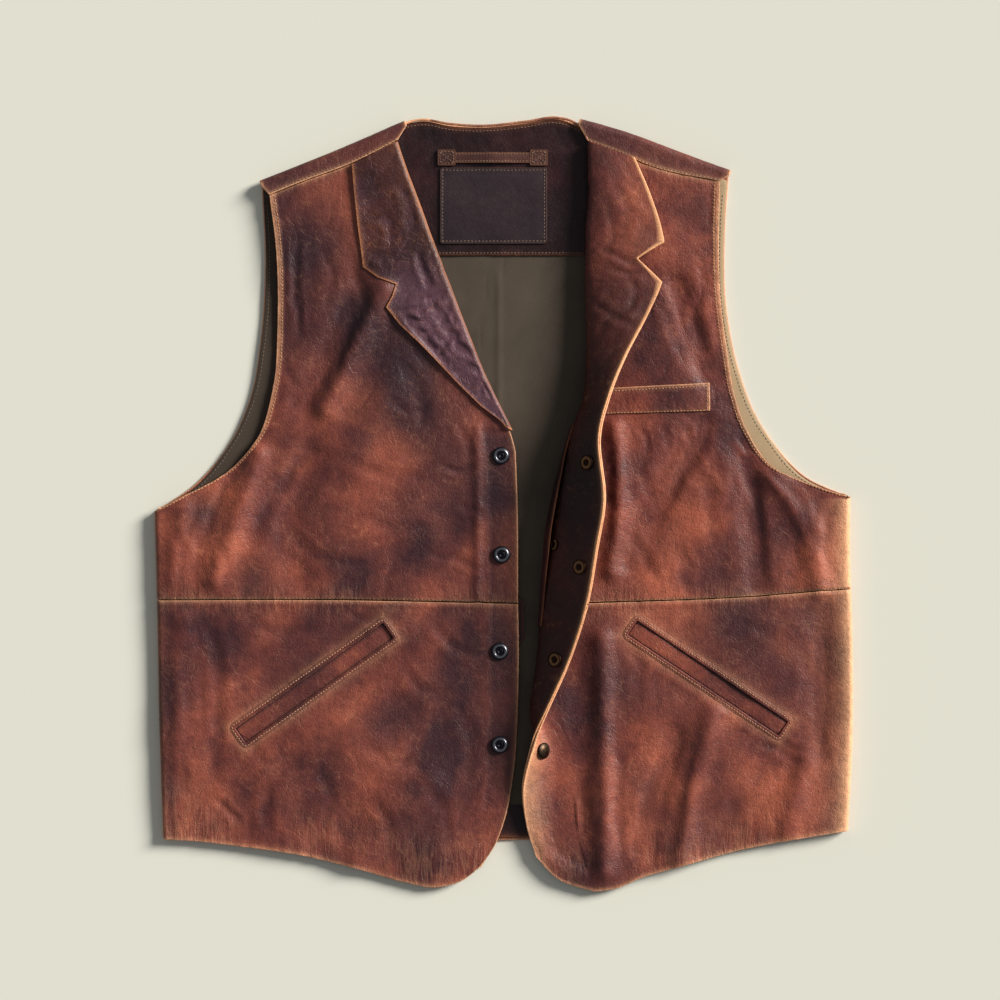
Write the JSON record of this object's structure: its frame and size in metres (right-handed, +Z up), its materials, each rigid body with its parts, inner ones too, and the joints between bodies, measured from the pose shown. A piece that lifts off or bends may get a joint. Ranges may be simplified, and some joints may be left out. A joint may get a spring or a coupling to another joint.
{
  "type": "leather vest",
  "caption": "Leather vest laid flat on its back, one front edge rolled open, with notched lapels, slanted pockets, snap placket and cotton lining.",
  "frame": {"origin": "on the surface that the vest lies on, under the middle of its bounding box", "axes": "+Z up, +Y towards the neck, +X towards the wearer's left front, with the fronts up"},
  "size_m": [0.5724, 0.635, 0.0506],
  "materials": {
    "leather": "worn waxed leather, satin",
    "inner_leather": "smooth darker leather, satin",
    "welt_leather": "smooth leather, satin",
    "cotton": "matt khaki twill",
    "dark_metal": "dark antique metal"
  },
  "bodies": {
    "root": {"back": "leather", "back_lining": "cotton", "neck_facing": "inner_leather", "label_patch": "welt_leather", "hanging_loop": "inner_leather", "front_left_upper": "leather", "front_left_lower": "leather", "front_right_upper": "leather", "front_right_lower": "leather", "lapel_left": "leather", "facing_right": "inner_leather", "chest_welt": "welt_leather", "pocket_welt_left": "welt_leather", "pocket_welt_right": "welt_leather", "inner_pocket_lip": "inner_leather", "inner_tab": "inner_leather", "inner_pocket_snap": "dark_metal", "snap_stud_1": "dark_metal", "snap_cap_1": "dark_metal", "snap_socket_1": "dark_metal", "snap_stud_2": "dark_metal", "snap_cap_2": "dark_metal", "snap_socket_2": "dark_metal", "snap_stud_3": "dark_metal", "snap_cap_3": "dark_metal", "snap_socket_3": "dark_metal", "snap_stud_4": "dark_metal", "snap_cap_4": "dark_metal", "snap_socket_4": "dark_metal"}
  },
  "joints": []
}
